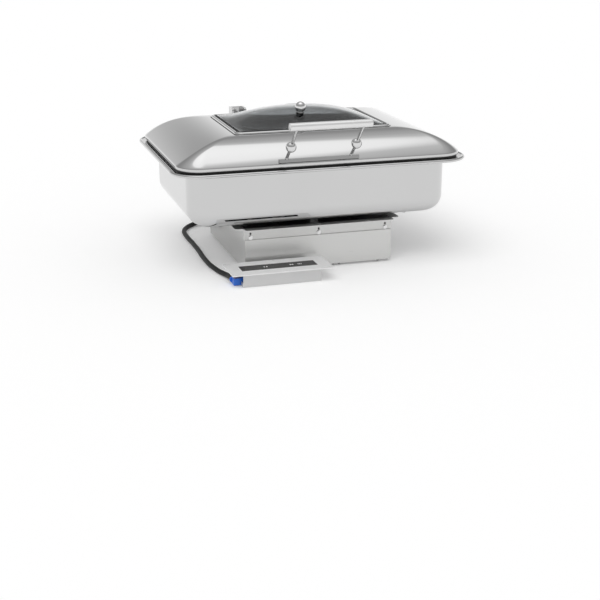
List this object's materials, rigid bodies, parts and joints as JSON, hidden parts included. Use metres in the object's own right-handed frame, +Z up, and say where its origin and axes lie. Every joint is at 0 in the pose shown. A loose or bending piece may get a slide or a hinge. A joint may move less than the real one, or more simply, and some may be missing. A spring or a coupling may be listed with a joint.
{
  "type": "induction food warmer",
  "caption": "Rectangular chafer with a hinged glass-window lid on a star spacer and an under-counter induction unit, with a separate touch panel on a lead.",
  "frame": {"origin": "on the floor, under the middle of the object's box", "axes": "+X to the right along the long front, +Y to the back where the hinges are, +Z up"},
  "size_m": [0.592, 0.523, 0.317],
  "materials": {
    "satin_sheet": "satin, fine grain",
    "polished_steel": "mirror polished",
    "satin_tube": "satin",
    "steel_fittings": "polished",
    "dark_screws": "blackened",
    "food_steel": "bright rolled",
    "base_steel": "matt",
    "feet_rubber": "matt",
    "sensor_grey": "matt",
    "guide_plastic": "matt",
    "carrier_aluminium": "mill finish",
    "ferrite": "matt",
    "copper_wire": "enamelled",
    "mica": "satin",
    "circuit_board": "solder mask",
    "standoff_brass": "turned",
    "capacitor_sleeve": "sleeved",
    "terminal_plastic": "moulded",
    "black_plastic": "moulded",
    "contact_metal": "plated",
    "spacer_grey": "matt",
    "seal_rubber": "matt",
    "window_glass": "clear",
    "panel_steel": "satin",
    "touch_glass": "black glass",
    "connector_blue": "moulded",
    "lead_rubber": "satin"
  },
  "bodies": {
    "unit": {"lower_housing": "satin_sheet", "bottom_cover": "satin_sheet", "cover_screws": "dark_screws", "rubber_feet": "feet_rubber", "mounting_frame": "satin_sheet", "frame_screws": "steel_fittings", "top_plate": "satin_sheet", "sensor_guide": "guide_plastic", "sensor_spring": "steel_fittings", "coil_carrier": "carrier_aluminium", "ferrite_bars": "ferrite", "coil_winding": "copper_wire", "mica_sheet": "mica", "power_board": "circuit_board", "board_standoffs": "standoff_brass", "heat_sink": "carrier_aluminium", "capacitors": "capacitor_sleeve", "terminal_block": "terminal_plastic", "fan_housing": "black_plastic", "mains_inlet": "black_plastic", "inlet_pins": "contact_metal", "lead_gland": "black_plastic", "panel_plate": "panel_steel", "touch_glass": "touch_glass", "panel_channel": "panel_steel", "panel_tray": "panel_steel", "panel_board": "circuit_board", "lead_connector": "connector_blue", "connector_contacts": "contact_metal", "control_lead": "lead_rubber"},
    "sensor": {"sensor_cap": "sensor_grey"},
    "fan": {"fan_rotor": "black_plastic"},
    "star": {"star_spacer": "spacer_grey"},
    "chafer": {"induction_base": "base_steel", "chafer_body": "polished_steel", "food_pan": "food_steel", "hinge_brackets": "steel_fittings", "hinge_pins": "steel_fittings"},
    "lid": {"lid_shell": "polished_steel", "lid_seal": "seal_rubber", "hinge_arms": "steel_fittings", "window_frame": "polished_steel", "window_gasket": "seal_rubber", "window_glass": "window_glass", "window_retainer": "steel_fittings", "window_knob": "polished_steel", "knob_washer": "seal_rubber", "knob_nut": "steel_fittings", "handle_strip": "steel_fittings", "handle_posts": "polished_steel", "handle_grip": "satin_tube", "grip_caps": "satin_tube"}
  },
  "joints": [
    {"name": "sensor_press", "type": "slide", "parent": "unit", "child": "sensor", "axis": [0, 0, 1], "range_m": [-0.0035, 0], "stiffness_N_per_m": 400, "springref_m": 0.003, "deforming": ["sensor_spring"]},
    {"name": "fan_spin", "type": "hinge", "parent": "unit", "child": "fan", "pos_m": [-0.082, 0.076, 0.018], "axis": [0, 0, 1], "continuous": true},
    {"name": "star_lift", "type": "slide", "parent": "unit", "child": "star", "axis": [0, 0, 1], "range_m": [0, 0.22]},
    {"name": "chafer_lift", "type": "slide", "parent": "star", "child": "chafer", "axis": [0, 0, 1], "range_m": [0, 0.183]},
    {"name": "lid_hinge", "type": "hinge", "parent": "chafer", "child": "lid", "pos_m": [0, 0.246, 0.2334], "axis": [-1, 0, 0], "range_deg": [0, 90]}
  ]
}
